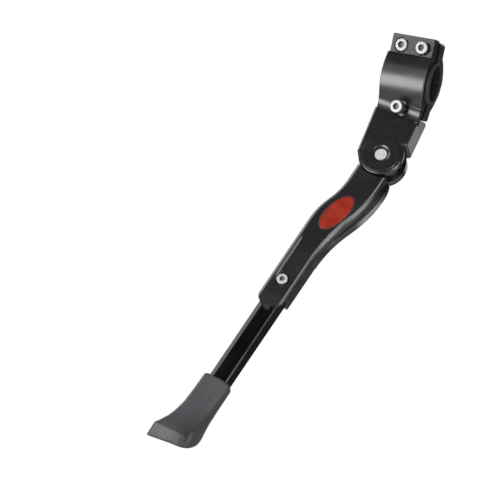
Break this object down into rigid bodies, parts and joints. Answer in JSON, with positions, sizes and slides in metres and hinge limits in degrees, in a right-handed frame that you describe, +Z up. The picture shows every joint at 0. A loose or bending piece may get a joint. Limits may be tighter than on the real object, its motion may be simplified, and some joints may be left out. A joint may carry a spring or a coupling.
{
  "type": "bicycle kickstand",
  "caption": "Side stand for a bicycle: an oval chainstay clamp, a tilted clevis with a folding cast leg, a reflector, and a sliding tube that ends in a flared rubber foot.",
  "frame": {"origin": "on the axis of the lower end arc of the oval stay opening, at the middle of the clamp's length", "axes": "+X along the stay, the way the leg folds; +Z up, along the leg's length; -Y outward from the bicycle"},
  "size_m": [0.1107, 0.1733, 0.3602],
  "materials": {
    "bracket_coat": "cast aluminium alloy under satin black powder coat",
    "leg_coat": "cast aluminium alloy under satin black powder coat",
    "tube_coat": "aluminium tube, gloss black",
    "sleeve_plastic": "dark grey moulded plastic",
    "screw_steel": "bright zinc-plated steel",
    "rivet_steel": "bright steel, lightly brushed",
    "inner_steel": "plain steel",
    "bush_bronze": "sintered bronze",
    "reflector_frame": "grey moulded plastic",
    "reflector_red": "clear red reflector plastic",
    "foot_rubber": "matte moulded rubber"
  },
  "bodies": {
    "bracket": {"bracket_arm": "bracket_coat", "clamp_jaw": "bracket_coat", "stay_sleeve": "sleeve_plastic", "clamp_screws": "screw_steel", "pivot_rivet": "rivet_steel", "pivot_washers": "inner_steel", "detent_spring": "inner_steel"},
    "detent": {"detent_plunger": "inner_steel"},
    "leg": {"leg_housing": "leg_coat", "pivot_bush": "bush_bronze", "reflector_base": "reflector_frame", "reflector_lens": "reflector_red", "length_screw": "screw_steel"},
    "foot": {"leg_tube": "tube_coat", "rubber_foot": "foot_rubber"}
  },
  "joints": [
    {"name": "leg_swing", "type": "hinge", "parent": "bracket", "child": "leg", "pos_m": [-0.0043, -0.0134, -0.0583], "axis": [0.1478, -0.9202, 0.3625], "range_deg": [0, 90]},
    {"name": "tube_slide", "type": "slide", "parent": "leg", "child": "foot", "axis": [-0.2174, -0.3878, -0.8957], "range_m": [-0.024, 0.014]},
    {"name": "detent_slide", "type": "slide", "parent": "bracket", "child": "detent", "axis": [-0.069, -0.3752, -0.9244], "range_m": [0, 0.0015], "stiffness_N_per_m": 1500, "springref_m": 0.004}
  ]
}
